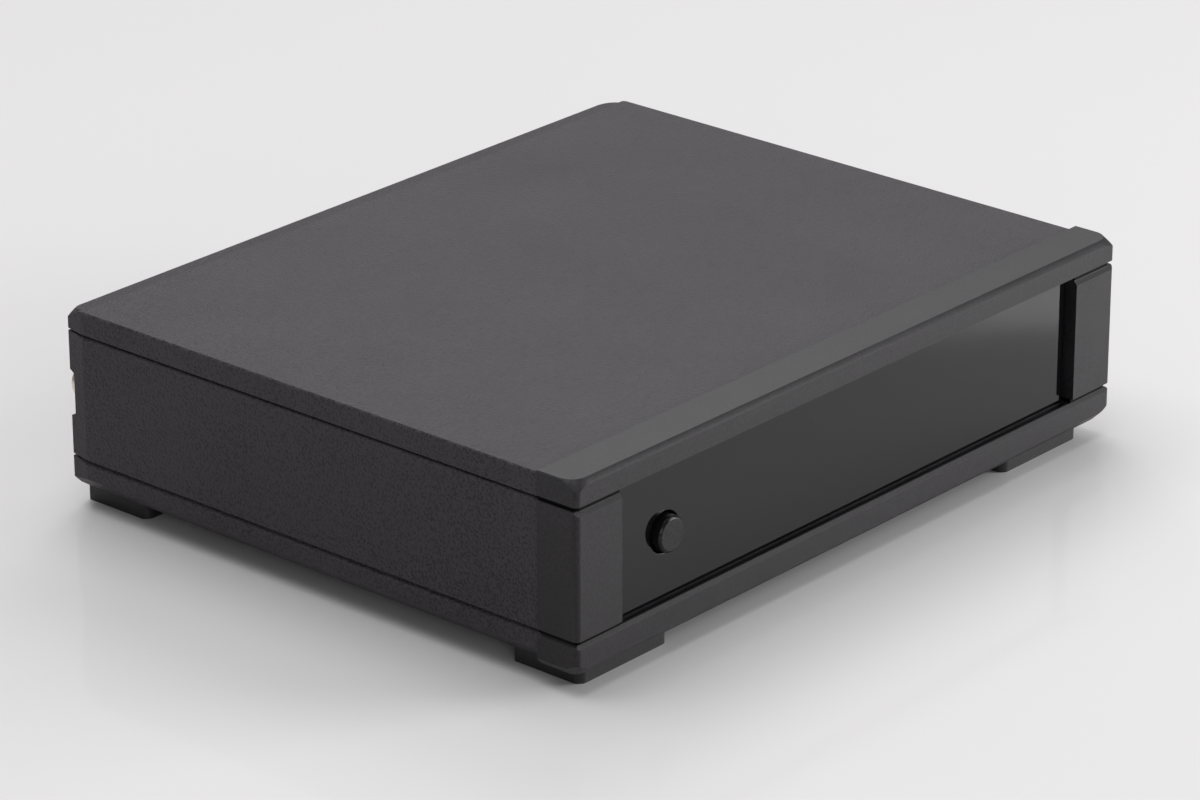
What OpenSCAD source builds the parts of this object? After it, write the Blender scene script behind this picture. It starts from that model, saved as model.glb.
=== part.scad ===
// Phono preamplifier in a three-layer metal case: base, middle band and lid, parted by two shadow
// seams. X runs across the front (left is minus), Y runs from the front to the back, Z is up and
// the feet stand on Z = 0. Millimetres. The origin is under the middle of the whole object.

/* [Case] */
// Width of the case across the front
case_w = 180; // [178:1:200]
// Depth of the case without the button and the sockets
case_d = 146.7; // [140:0.1:170]
// Height of the base tray
base_h = 7.4; // [7:0.1:9]
// Height of the middle band
band_h = 28.2; // [28:0.1:34]
// Height of the lid at its front
lid_h = 5.4; // [5:0.1:8]
// Height of the shadow seam under the band, at the front
seam_low = 1; // [0.5:0.05:1.5]
// Height of the shadow seam under the lid, at the front
seam_top = 1.1; // [0.5:0.05:1.5]
// Height of both shadow seams behind the nose
deck_seam = 0.5; // [0.3:0.05:0.8]
// Depth of both shadow seams
seam_in = 0.7; // [0.6:0.1:1.6]
// Thickness of the side walls
wall_t = 3; // [2.6:0.1:4]
// Thickness of the lid's roof and of the base's floor
skin_t = 1.6; // [1.2:0.1:2.2]

/* [Nose and tail] */
// Depth of the smooth front nose, which stands proud of the rest
nose_d = 10.6; // [9:0.1:13]
// Length of the slope behind the nose
nose_slope = 0.7; // [0.4:0.1:1.5]
// How far the nose stands proud at the sides
nose_side = 0.8; // [0.4:0.1:1.4]
// How far the nose stands proud at the top
nose_top = 0.8; // [0.4:0.1:1.2]
// Depth of the tapered tail at the back
tail_d = 5.2; // [4:0.1:8]
// How far the tail narrows at each side and at the top
tail_taper = 1; // [0.4:0.1:1.6]
// How far the underside rises along the tail
tail_rise = 0.4; // [0.2:0.1:3]
// Radius of the upright front corners
corner_r = 1.2; // [0.6:0.1:2]
// Radius of the swept corners of the lid's top edge
sweep_r = 3.8; // [2:0.1:5]
// Radius of the swept corners of the base's bottom edge
base_sweep_r = 2; // [1:0.1:3]
// Bevel along the lid's front edge
lid_bevel = 1.15; // [0.6:0.05:1.6]
// Bevel along the lid's side edges
side_bevel = 0.3; // [0.15:0.05:1]
// Bevel along the top edge of the base
base_bevel = 0.8; // [0.4:0.05:1.2]
// Bevel along the bottom edge of the base's nose
under_bevel = 1.9; // [1:0.05:2.4]
// Bevel along the bottom edge of the base behind the nose
side_under_bevel = 3.4; // [1:0.1:3.6]
// Thickness of the base's front lip
lip_t = 1.3; // [1:0.1:1.8]
// Depth of the dark trough behind the base's front lip
trough_h = 2.2; // [1:0.1:3]
// Bevel along the top edge of the two cheeks
cheek_bevel = 1; // [0.5:0.05:1.6]

/* [Front] */
// Width of the cheek at each end of the front panel
cheek_w = 13.8; // [12:0.1:18]
// How far the front panel is set back
panel_back = 2.3; // [2:0.1:4]
// Thickness of the front panel
panel_t = 2.5; // [2:0.1:3]
// Dark gap between the front panel and each cheek
panel_gap = 1.2; // [0.8:0.1:3]
// Dark gap under the front panel
panel_under = 0.8; // [0.4:0.1:1.5]
// Thickness of the steel carrier behind the front panel
carrier_t = 1.2; // [1:0.1:1.6]
// Distance of the power button's axis from the left end
button_x = 29.5; // [24:0.5:60]
// Height of the power button's axis above the floor
button_z = 26.5; // [24:0.1:30]
// Diameter of the power button
button_w = 8; // [6:0.1:10]
// Gap all round the power button
button_gap = 0.6; // [0.3:0.05:0.8]
// How far the power button stands out of the front panel
button_out = 2.2; // [1.5:0.1:4]
// Travel of the power button
button_stroke = 1.8; // [1:0.1:2.4]

/* [Feet] */
// Height of the feet
foot_h = 4.3; // [4:0.1:8]
// Width of a foot
foot_w = 27.5; // [20:0.5:32]
// Depth of a foot
foot_d = 18; // [14:0.2:20]
// Distance of the feet from the sides
foot_side = 5.7; // [5:0.1:8]
// Distance of the front feet from the front
foot_front = 4.3; // [4:0.1:8]
// Distance of the rear feet from the back
foot_back = 0; // [0:0.1:6]
// Radius of a foot's front corners
foot_r = 2; // [1:0.1:3]
// Radius of a foot's rear corners
foot_rear_r = 0.6; // [0.4:0.1:3]

/* [Back] */
// Height of the middle of the socket channel above the floor
channel_z = 26.5; // [25.5:0.1:28.5]
// Height of the socket channel's floor
channel_h = 9.4; // [9.4:0.1:11]
// Depth of the socket channel's notch in the sides
channel_in = 1.5; // [1:0.1:2]
// Depth of the channel between the sides, where the sockets stand
recess_in = 5.7; // [4.5:0.1:6.5]
// Thickness of the rear panel's web
web_t = 2; // [1.6:0.1:3]
// Radius of a phono socket's barrel
barrel_r = 4.15; // [4.1:0.01:4.2]
// Length of a phono socket's barrel outside the rear panel's web
barrel_l = 9; // [8.5:0.1:12]
// Distance of the first socket from the left end
socket_edge = 9; // [9:0.5:14]
// Distance between the two sockets of a pair
socket_pitch = 14; // [13:0.5:16]
// Distance of the output pair's first socket from the left end
output_x = 82; // [78:1:90]
// Distance of the ground post from the left end
ground_x = 42; // [40:1:46]
// Diameter of the ground post's thread
ground_thread = 4; // [4:0.5:5]
// Diameter of the ground thumb nut
ground_nut_w = 8.6; // [7.6:0.2:8.8]
// Travel of the ground thumb nut
ground_stroke = 2.8; // [1.4:0.1:3.5]
// Distance of the mains inlet from the right end
inlet_x = 22; // [19:1:28]

/* [Inside] */
// Height of the spacers under the boards
spacer_h = 6; // [5.5:0.1:7]
// Thickness of the boards
board_t = 1.6; // [1.2:0.1:2]
// Width of the supply board
supply_w = 46; // [44:1:47]
// Gap between the boards
board_gap = 5.2; // [4:0.2:8]
// Depth of both boards
board_d = 104; // [100:1:106]

/* [Hidden] */
$fn = 48;

// Small amounts: a cut's overshoot, a sliding clearance, a running clearance
over = 1;
loose = 0.3;
run = 0.05;

// Heights of the layers
base_z = foot_h;
base_top = base_z + base_h;
band_z = base_top + seam_low;
band_top = band_z + band_h;
lid_z = band_top + seam_top;
lid_top = lid_z + lid_h;
band_deck_z = base_top + deck_seam;
lid_deck_z = band_top + deck_seam;
deck_top = lid_top - nose_top;
floor_top = base_z + skin_t + 0.6;

// Widths and depths
half_w = case_w / 2;
deck_half = half_w - nose_side;
tail_half = deck_half - tail_taper;
deck_y = nose_d + nose_slope;
tail_y = case_d - tail_d;
notch_y = case_d - channel_in;
web_y = case_d - recess_in;
web_in = web_y - web_t;
reach_back = web_y + barrel_l;
front_y = min(0, panel_back - button_out);
shift_y = -(front_y + reach_back) / 2;

// Front parts
cheek_x = half_w - cheek_w;
panel_half = cheek_x - panel_gap;
panel_y = panel_back + panel_t;
carrier_y = panel_y + carrier_t;
panel_z = base_top + panel_under;
panel_top = lid_z - loose;
ledge_d = 14;
button_r = button_w / 2;
button_at = button_x - half_w;
button_face = panel_back - button_out;
button_bevel = 0.5;
button_end = panel_y - 0.4;
rod_r = 2;
rod_end = carrier_y + 7.5;
switch_w = 14;
switch_h = 13;
switch_d = 17.5;

// Screws
m3_r = 1.5;
m3_head = 2.8;
m3_head_h = 1.8;
post_d = 10;
post_screw_in = 6.6;
post_w = post_screw_in + 4;
post_y = [foot_front + foot_d + 1.5, case_d - foot_back - foot_d - 1 - post_d];
post_screw_x = deck_half - post_screw_in;
screw_bite = 3;
rear_screw_x = half_w - 5.4;
rear_screw_r = 1.2;
rear_head_r = 2.1;
rear_screw_l = recess_in + web_t + 5;
boss_w = 6.6;
boss_d = 9;
panel_end = half_w - 3;
lip_z = [channel_z - channel_h / 2, channel_z + channel_h / 2];
lip_slope = 0.7;
rear_screw_z = [(band_z + lip_z[0]) / 2, (band_top + lip_z[1]) / 2];

// Boards
board_y = web_in - 0.8 - board_d;
board_z = floor_top + spacer_h;
board_top = board_z + board_t;
main_x = -deck_half + wall_t + 2;
supply_x = deck_half - wall_t - 2 - supply_w;
main_w = supply_x - board_gap - main_x;
spacer_in = 9;
spacer_front = 12;
spacer_back = 22;
spacer_r = 2.6;
sheet_t = 0.4;
sheet_in = 10;

// Back parts
collar_r = barrel_r + 0.5;
collar_l = 1.2;
neck_r = barrel_r - 0.3;
barrel_bevel = 0.3;
core_r = neck_r - 0.5;
contact_r = 1.6;
contact_wall = 0.4;
socket_block_d = 10;
socket_block_top = channel_z + 6.2;
input_x = [socket_edge - half_w, socket_edge + socket_pitch - half_w];
out_x = [output_x - half_w, output_x + socket_pitch - half_w];
ground_at = ground_x - half_w;
ground_r = ground_thread / 2;
ground_flange_t = 3;
ground_washer_t = 0.8;
ground_nut_y = web_y + ground_flange_t + ground_washer_t;
ground_nut_t = 5;
inlet_at = half_w - inlet_x;
inlet_w = 19;
inlet_h = 11;
inlet_d = 18;
inlet_y = case_d - 0.3;
inlet_mouth_w = 16;
inlet_mouth_h = 8.4;
inlet_mouth_d = 12;
pin_pitch = 8.6;
pin_r = 1.2;

// Colours
case_grey = [0.33, 0.32, 0.34];
gloss_black = [0.03, 0.03, 0.035];
dark = [0.09, 0.09, 0.095];
steel = [0.62, 0.63, 0.65];
nickel = [0.75, 0.73, 0.69];
board_green = [0.05, 0.27, 0.14];
white_plastic = [0.88, 0.88, 0.86];
red_plastic = [0.7, 0.06, 0.06];
foil = [0.15, 0.17, 0.4];
ferrite = [0.14, 0.13, 0.13];
copper = [0.72, 0.45, 0.2];
tape_yellow = [0.8, 0.65, 0.15];

// ---- shared shapes ----

// Moves a part from the case's own frame (Y = 0 at the nose) to the object's frame
module placed() translate([0, shift_y, 0]) children();

// A box given by its two corners
module box(a, b) translate(a) cube(b - a);

// A round bar along Y
module bar(x, z, r, y0, y1) translate([x, y0, z]) rotate([-90, 0, 0]) cylinder(r = r, h = y1 - y0);

// A plate outlined in Y and Z, which runs from x0 to x1
module along_x(pts, x0, x1)
    translate([x0, 0, 0]) rotate([90, 0, 90]) linear_extrude(x1 - x0) polygon(pts);

// A plate outlined in X and Z, which runs from y0 to y1
module along_y(pts, y0, y1)
    translate([0, y1, 0]) rotate([90, 0, 0]) linear_extrude(y1 - y0) polygon(pts);

// The outline of the case from above, drawn in by i all round
function outline(i) = let (h = half_w - i, d = deck_half - i, t = tail_half - i) [
    [-h, i], [-h, nose_d], [-d, deck_y], [-d, tail_y], [-t, case_d - i],
    [t, case_d - i], [d, tail_y], [d, deck_y], [h, nose_d], [h, i]
];

// The case's outline as a solid layer from z0 to z1, with its round front corners
module layer(z0, z1, i = 0) difference() {
    translate([0, 0, z0]) linear_extrude(z1 - z0) polygon(outline(i));
    for (s = [-1, 1]) corner_cut(s * (half_w - i), i, s, z0, z1);
}

// What is cut off an upright corner to round it
module corner_cut(x, y, s, z0, z1) difference() {
    box([min(x, x - s * corner_r) - (s < 0 ? over : 0), y - over, z0 - over],
        [max(x, x - s * corner_r) + (s > 0 ? over : 0), y + corner_r, z1 + over]);
    translate([x - s * corner_r, y + corner_r, z0 - 2 * over])
        cylinder(r = corner_r, h = z1 - z0 + 4 * over);
}

// A straight-sided layer with bevelled long edges: bottom bevel lo, top bevel hi
module bevelled(half, y0, y1, z0, z1, lo, hi) along_y([
    [-half + lo, z0], [half - lo, z0], [half, z0 + lo], [half, z1 - hi], [half - hi, z1],
    [-half + hi, z1], [-half, z1 - hi], [-half, z0 + lo]], y0, y1);

// The nose: bevelled at the front (lo_f below, hi_f above) and at the sides (lo_s, hi_s), with
// corners swept round at radius low_r below and top_r above. Its top slopes down by drop at the back.
module nose(z0, z1, lo_f, hi_f, lo_s, hi_s, low_r = 0, top_r = 0, drop = 0) difference() {
    intersection() {
        along_x([[0, z0 + lo_f], [lo_f, z0], [deck_y, z0], [deck_y, z1 - drop], [nose_d, z1],
            [hi_f, z1], [0, z1 - hi_f]], -half_w, half_w);
        bevelled(half_w, 0, deck_y, z0, z1, lo_s, hi_s);
        layer(z0, z1);
    }
    for (s = [-1, 1]) {
        if (top_r > 0) translate([0, 0, z1]) sweep_cut(s, hi_f, hi_s, top_r);
        if (low_r > 0) translate([0, 0, z0]) mirror([0, 0, 1]) sweep_cut(s, lo_f, lo_s, low_r);
    }
}

// What is cut off a bevelled front corner whose top is at z = 0, to sweep it round: all that
// lies outside a 45 degree cone, which meets the bevels of the front and of the side.
module sweep_cut(s, front, side, r) {
    low = r + front;
    wide = r + side + over;
    far = r + front + over;
    translate([s * (half_w - side - r), front + r, 0]) difference() {
        translate([s > 0 ? 0 : -wide, -far, -low]) cube([wide, far, low + over / 2]);
        translate([0, 0, -low - over]) cylinder(r1 = r + low + over, r2 = r - over, h = low + 2 * over);
    }
}

// The tail: the sides, the top edge (by hi) and the bottom edge (by lo) run in towards the
// back. Its long edges are bevelled as the deck's: by lo_s below and by hi_s above.
module tail(z0, z1, lo, hi, lo_s, hi_s) intersection() {
    layer(z0, z1);
    bevelled(deck_half, tail_y - 0.01, case_d, z0, z1, lo_s, hi_s);
    along_x([[tail_y - 0.01, z0], [tail_y, z0], [case_d, z0 + lo], [case_d, z1 - hi],
        [tail_y, z1], [tail_y - 0.01, z1]], -half_w, half_w);
}

// Cuts the swept corner of a top edge at height z, on side s, at the back of the case
module tail_sweep(s, z) {
    drop = sweep_r * 0.6;
    low = drop + over;
    translate([s * (tail_half - sweep_r), case_d - sweep_r, z - drop]) difference() {
        translate([s > 0 ? 0 : -2 * sweep_r, 0, 0]) cube([2 * sweep_r, 2 * sweep_r, low]);
        translate([0, 0, -over]) cylinder(r1 = sweep_r + low, r2 = sweep_r - over, h = low + over);
    }
}

// The hollow between the two shells: narrow at both ends, wide between the posts
module hollow(z0, z1) {
    box([-deck_half + post_w, ledge_d, z0], [deck_half - post_w, tail_y - 4, z1]);
    box([-deck_half + wall_t, post_y[0] + post_d + 1, z0],
        [deck_half - wall_t, post_y[1] - 1, z1]);
}

// A pan screw along Z, head down at z, shank going up
module screw_up(x, y, z, len, r = m3_r, head = m3_head, head_h = m3_head_h) translate([x, y, z]) {
    difference() {
        cylinder(r = head, h = head_h);
        translate([0, 0, -over]) cylinder(r = r * 0.75, h = over + head_h * 0.55, $fn = 6);
    }
    translate([0, 0, head_h]) cylinder(r = r, h = len);
}

// The depth that is a share of the way back along the boards
function deep(share) = board_y + board_d * share;

// Four corners of a board that starts at x0 and is w wide
function board_corners(x0, w) = [
    for (x = [x0 + spacer_in, x0 + w - spacer_in],
        y = [board_y + spacer_front, board_y + board_d - spacer_back]) [x, y]];
main_corners = board_corners(main_x, main_w);
supply_corners = board_corners(supply_x, supply_w);

// Places of the four case screws, one in each post
case_screw_places = [for (s = [-1, 1], y = post_y) [s * post_screw_x, y + post_d / 2]];

// Corners nearest the origin of the four feet
foot_left = -half_w + foot_side;
foot_right = half_w - foot_side - foot_w;
foot_rear_y = case_d - foot_back - foot_d;

// ---- case ----

module lid() color(case_grey) placed() difference() {
    union() {
        nose(lid_z, lid_top, 0, lid_bevel, 0, side_bevel, 0, sweep_r, nose_top);
        bevelled(deck_half, deck_y - 0.01, tail_y, lid_deck_z, deck_top, 0, side_bevel);
        tail(lid_deck_z, deck_top, 0, tail_taper, 0, side_bevel);
    }
    for (s = [-1, 1]) tail_sweep(s, deck_top - tail_taper);
    hollow(lid_deck_z - over, deck_top - skin_t);
    for (p = case_screw_places)
        translate([p[0], p[1], lid_deck_z - over]) cylinder(r = m3_r - 0.1, h = screw_bite + 0.4 + over);
}

module base() color(case_grey) placed() difference() {
    union() {
        nose(base_z, base_top, under_bevel, base_bevel, under_bevel, base_bevel, base_sweep_r);
        bevelled(deck_half, deck_y - 0.01, tail_y, base_z, base_top, side_under_bevel, base_bevel);
        tail(base_z, base_top, tail_rise, 0, side_under_bevel, base_bevel);
    }
    hollow(floor_top, base_top + over);
    box([-cheek_x + 0.2, lip_t, base_top - trough_h], [cheek_x - 0.2, panel_back + 0.4, base_top + over]);
    for (p = case_screw_places) translate([p[0], p[1], 0]) {
        cylinder(r = m3_r + 0.2, h = base_top + over);
        cylinder(r = m3_head + 0.3, h = base_z + m3_head_h + 0.2);
    }
    for (p = foot_places) translate([p[0] + foot_w / 2, p[1] + foot_d / 2, 0])
        cylinder(r = m3_r, h = floor_top + 1.5);
    for (p = concat(main_corners, supply_corners)) translate([p[0], p[1], 0])
        cylinder(r = m3_r, h = base_top + over);
    for (x = carrier_screw_x) translate([x, carrier_screw_y, base_top - 4])
        cylinder(r = 1.15, h = 5);
}

carrier_screw_x = [-cheek_x + 16, 0, cheek_x - 16];
carrier_screw_y = carrier_y + 3.6;
foot_places = [[foot_left, foot_front], [foot_right, foot_front],
    [foot_left, foot_rear_y], [foot_right, foot_rear_y]];

// A box on side s (-1 left, 1 right) from the outside of the case to w inside the deck's side
module side_span(s, w, y0, y1, z0, z1)
    box([min(s * half_w, s * (deck_half - w)), y0, z0],
        [max(s * half_w, s * (deck_half - w)), y1, z1]);

// One side of the middle band: cheek, wall, post and bosses. s is -1 on the left, 1 on the right.
module side_frame(s) color(case_grey) placed() difference() {
    union() {
        intersection() {
            union() {
                nose(band_z, band_top, 0, cheek_bevel, 0, side_bevel);
                bevelled(deck_half, deck_y - 0.01, tail_y, band_deck_z, band_top, 0, 0.45);
                tail(band_deck_z, band_top, 0, 0, 0, 0.45);
                layer(base_top, lid_z, seam_in);
            }
            union() {
                box([min(s * half_w, s * cheek_x), 0, base_top],
                    [max(s * half_w, s * cheek_x), deck_y - 0.01, lid_z]);
                side_span(s, wall_t, deck_y - 0.01, case_d, base_top, lid_deck_z);
                for (y = post_y) side_span(s, post_w, y, y + post_d, base_top, lid_deck_z);
                side_span(s, boss_w, web_in - boss_d, web_in, board_top + loose, lip_z[0] - 1);
                side_span(s, boss_w, web_in - boss_d, web_in, lip_z[1] + 1, band_top);
            }
        }
    }
    // Seat of the rear panel, and the socket channel running out at the side
    box([min(s * panel_end, 0), web_in, base_top - over],
        [max(s * panel_end, 0), case_d + over, lid_z + over]);
    along_x(channel_cut(), -half_w, half_w);
    for (p = case_screw_places) translate([p[0], p[1], 0]) cylinder(r = m3_r + 0.2, h = lid_top);
    for (z = rear_screw_z) bar(s * rear_screw_x, z, rear_screw_r, web_in - 7, case_d);
}
module side_frame_left() side_frame(-1);
module side_frame_right() side_frame(1);

// Cross-section of the channel's notch, with a floor of height channel_h and sloping lips
function channel_cut() = let (out = lip_slope * (channel_in + over) / channel_in) [
    [notch_y, lip_z[0]], [case_d + over, lip_z[0] - out],
    [case_d + over, lip_z[1] + out], [notch_y, lip_z[1]]];

module rear_panel() color(case_grey) placed() difference() {
    union() {
        box([-panel_end + 0.02, web_in, band_deck_z], [panel_end - 0.02, case_d, band_top]);
        box([-panel_end + 0.02, web_in, base_top],
            [panel_end - 0.02, case_d - tail_taper - 0.5, lid_deck_z]);
    }
    along_x(channel_cut(), -half_w, half_w);
    box([-half_w, web_y, lip_z[0]], [half_w, notch_y + 0.1, lip_z[1]]);
    for (x = concat(input_x, out_x)) bar(x, channel_z, collar_r + 0.02, web_in - over, case_d + over);
    bar(ground_at, channel_z, ground_r + run, web_in - over, case_d);
    box([inlet_at - inlet_w / 2, web_in - over, channel_z - inlet_h / 2],
        [inlet_at + inlet_w / 2, case_d + over, channel_z + inlet_h / 2]);
    for (s = [-1, 1], z = rear_screw_z) {
        bar(s * rear_screw_x, z, rear_screw_r + 0.15, web_in - over, case_d + over);
        bar(s * rear_screw_x, z, rear_head_r + 0.15, case_d - 1.3, case_d + over);
    }
}

// ---- front ----

module front_panel() color(gloss_black) placed() difference() {
    box([-panel_half, panel_back, panel_z], [panel_half, panel_y, panel_top]);
    bar(button_at, button_z, button_r + button_gap, panel_back - over, panel_y + over);
}

module panel_carrier() color(dark) placed() difference() {
    union() {
        box([-cheek_x + 0.2, panel_y, base_top], [cheek_x - 0.2, carrier_y, panel_top]);
        box([-cheek_x + 0.2, carrier_y, base_top], [cheek_x - 0.2, ledge_d - 0.4, base_top + carrier_t]);
    }
    bar(button_at, button_z, button_r + button_gap, panel_y - over, carrier_y + over);
    for (x = carrier_screw_x) translate([x, carrier_screw_y, 0])
        cylinder(r = 1.6, h = base_top + carrier_t + over);
}

module carrier_screws() color(steel) placed() for (x = carrier_screw_x)
    translate([x, carrier_screw_y, base_top + carrier_t]) {
        difference() {
            cylinder(r = 2.4, h = 1.5);
            translate([0, 0, 0.7]) cylinder(r = 1, h = over, $fn = 6);
        }
        translate([0, 0, -4.4]) cylinder(r = 1.1, h = 4.4);
    }

module power_button() color(case_grey) placed() difference() {
    union() {
        bar(button_at, button_z, button_r, button_face + button_bevel, button_end);
        translate([button_at, button_face, button_z]) rotate([-90, 0, 0])
            cylinder(r1 = button_r - button_bevel, r2 = button_r, h = button_bevel);
    }
    bar(button_at, button_z, rod_r, button_end - 3, button_end + over);
}

module button_rod() color(white_plastic) placed()
    bar(button_at, button_z, rod_r, button_end - 3, rod_end);

module power_switch() color(dark) placed() difference() {
    box([button_at - switch_w / 2, carrier_y, button_z - switch_h / 2],
        [button_at + switch_w / 2, carrier_y + switch_d, button_z + switch_h / 2]);
    bar(button_at, button_z, button_r + button_gap, carrier_y - over, carrier_y + button_stroke + 0.6);
    bar(button_at, button_z, rod_r + run, carrier_y, rod_end + button_stroke + 1);
}

// Flat cable from the switch down to its plug on the main board
module switch_cable() color([0.6, 0.6, 0.62]) placed() {
    y0 = carrier_y + switch_d;
    y1 = board_y + 6;
    z0 = button_z - switch_h / 2 + 1;
    along_x([[y0, z0], [y1 - 1, z0], [y1 - 1, board_top + 5], [y1, board_top + 5],
        [y1, z0 + 1], [y0, z0 + 1]], button_at - 4, button_at + 4);
    box([button_at - 5, y1 - 3, board_top], [button_at + 5, y1 + 2, board_top + 5]);
}

// ---- feet and case screws ----

module foot(at) color(dark) placed() translate([at[0], at[1], 0]) difference() {
    union() {
        translate([foot_r, 0, 0]) cube([foot_w - 2 * foot_r, foot_d / 2, foot_h]);
        translate([foot_rear_r, foot_d / 2, 0]) cube([foot_w - 2 * foot_rear_r, foot_d / 2, foot_h]);
        translate([0, foot_r, 0]) cube([foot_w, foot_d - foot_r - foot_rear_r, foot_h]);
        for (x = [foot_r, foot_w - foot_r]) translate([x, foot_r, 0]) cylinder(r = foot_r, h = foot_h);
        for (x = [foot_rear_r, foot_w - foot_rear_r])
            translate([x, foot_d - foot_rear_r, 0]) cylinder(r = foot_rear_r, h = foot_h);
    }
    translate([foot_w / 2, foot_d / 2, -over]) {
        cylinder(r = m3_head + 0.2, h = m3_head_h + 1 + over);
        cylinder(r = m3_r + 0.2, h = foot_h + 2 * over);
    }
}
module foot_front_left() foot(foot_places[0]);
module foot_front_right() foot(foot_places[1]);
module foot_rear_left() foot(foot_places[2]);
module foot_rear_right() foot(foot_places[3]);

module foot_screws() color(steel) placed() for (p = foot_places)
    screw_up(p[0] + foot_w / 2, p[1] + foot_d / 2, 1, foot_h + skin_t - 1.4, m3_r - 0.1);

module case_screws() color(steel) placed() for (p = case_screw_places)
    screw_up(p[0], p[1], base_z + 0.2, lid_deck_z + screw_bite - base_z - m3_head_h - 0.2, m3_r - 0.1);

module rear_panel_screws() color(dark) placed() for (s = [-1, 1], z = rear_screw_z) {
    difference() {
        bar(s * rear_screw_x, z, rear_head_r, case_d - 1.3, case_d - 0.1);
        translate([s * rear_screw_x, case_d - 0.7, z]) rotate([-90, 0, 0])
            cylinder(r = 1, h = over, $fn = 6);
    }
    bar(s * rear_screw_x, z, rear_screw_r, case_d - rear_screw_l, case_d - 1.3);
}

// ---- boards ----

module board(x0, w, corners) color(board_green) placed() difference() {
    box([x0, board_y, board_z], [x0 + w, board_y + board_d, board_top]);
    for (p = corners) translate([p[0], p[1], board_z - over])
        cylinder(r = m3_r + 0.1, h = board_t + 2 * over);
    // Notches round the case's posts
    for (s = [-1, 1], y = post_y) translate([0, 0, board_z - over])
        side_span(s, post_w + 0.5, y - 0.5, y + post_d + 0.5, 0, board_t + 2 * over);
}
module main_board() board(main_x, main_w, main_corners);
module supply_board() board(supply_x, supply_w, supply_corners);

module spacers(corners, lift) color(steel) placed() for (p = corners)
    translate([p[0], p[1], floor_top + lift]) difference() {
        cylinder(r = spacer_r, h = spacer_h - lift);
        translate([0, 0, -over]) cylinder(r = m3_r, h = spacer_h + 2 * over);
    }
module main_board_spacers() spacers(main_corners, 0);
module supply_board_spacers() spacers(supply_corners, sheet_t);

module board_screws(corners) color(steel) placed() for (p = corners)
    translate([p[0], p[1], board_top]) {
        difference() {
            cylinder(r = m3_head, h = m3_head_h);
            translate([0, 0, 0.9]) cylinder(r = 1.1, h = over, $fn = 6);
        }
        translate([0, 0, -board_t - spacer_h + 1]) cylinder(r = m3_r - 0.1, h = board_t + spacer_h - 1);
    }
module main_board_screws() board_screws(main_corners);
module supply_board_screws() board_screws(supply_corners);

module insulation_sheet() color(dark) placed() difference() {
    box([supply_x, board_y + 2, floor_top],
        [deck_half - post_w - loose, board_y + board_d - sheet_in, floor_top + sheet_t]);
    for (p = supply_corners) translate([p[0], p[1], 0]) cylinder(r = m3_r + 0.1, h = board_z);
}

// ---- power supply ----

supply_mid = supply_x + supply_w / 2;
core_y = deep(0.37);

module transformer_core() color(ferrite) placed() difference() {
    box([supply_mid - 12, core_y, board_top + 1], [supply_mid + 12, core_y + 12, board_top + 21]);
    for (s = [-1, 1]) box([supply_mid + s * 6 - 3, core_y - over, board_top + 4.5],
        [supply_mid + s * 6 + 3, core_y + 12 + over, board_top + 17.5]);
}

module transformer_winding() color(tape_yellow) placed() difference() {
    box([supply_mid - 8.9, core_y - 5, board_top], [supply_mid + 8.9, core_y + 17, board_top + 17.2]);
    box([supply_mid - 3, core_y, board_top - over], [supply_mid + 3, core_y + 12, board_top + 30]);
    box([supply_mid - 12, core_y, board_top - over], [supply_mid + 12, core_y + 12, board_top + 4.7]);
}

module bulk_capacitor() color(foil) placed()
    translate([supply_mid, deep(0.19), board_top]) cylinder(r = 8, h = 20);

module supply_choke() color(copper) placed()
    translate([supply_mid + 12, deep(0.66), board_top]) difference() {
        cylinder(r = 7, h = 10);
        translate([0, 0, -over]) cylinder(r = 2.4, h = 10 + 2 * over);
    }

fuse_y = deep(0.62);
fuse_r = 2.6;
fuse_l = 20;
fuse_at = supply_x + 6;
fuse_z = board_top + 4;
module fuse() color(white_plastic) placed()
    bar(fuse_at, fuse_z, fuse_r, fuse_y - fuse_l / 2, fuse_y + fuse_l / 2);
module fuse_clips() color(nickel) placed() for (y = [fuse_y - 9, fuse_y + 4]) difference() {
    box([supply_x + 2.6, y, board_top], [supply_x + 9.4, y + 5, board_top + 6.4]);
    bar(fuse_at, fuse_z, fuse_r, y - over, y + 6);
    box([supply_x + 4.6, y - over, board_top + 4], [supply_x + 7.4, y + 6, board_top + 8]);
}

// Round-ended mouth of the two-pole inlet
module inlet_mouth(y0, y1) union() {
    r = inlet_mouth_h / 2;
    box([inlet_at - inlet_mouth_w / 2 + r, y0, channel_z - r],
        [inlet_at + inlet_mouth_w / 2 - r, y1, channel_z + r]);
    for (s = [-1, 1]) bar(inlet_at + s * (inlet_mouth_w / 2 - r), channel_z, r, y0, y1);
}
module mains_inlet() color(dark) placed() difference() {
    union() {
        box([inlet_at - inlet_w / 2 + 0.05, inlet_y - inlet_d, channel_z - inlet_h / 2 + 0.05],
            [inlet_at + inlet_w / 2 - 0.05, inlet_y, channel_z + inlet_h / 2 - 0.05]);
        box([inlet_at - inlet_w / 2 + 2, inlet_y - inlet_d, board_top],
            [inlet_at + inlet_w / 2 - 2, inlet_y - inlet_d + 8, channel_z]);
    }
    inlet_mouth(inlet_y - inlet_mouth_d, inlet_y + over);
    for (s = [-1, 1]) bar(inlet_at + s * pin_pitch / 2, channel_z, pin_r,
        inlet_y - inlet_d + 2, inlet_y - inlet_mouth_d + over);
}
module inlet_pins() color(nickel) placed() for (s = [-1, 1])
    bar(inlet_at + s * pin_pitch / 2, channel_z, pin_r, inlet_y - inlet_d + 2, inlet_y - 2);

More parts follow.
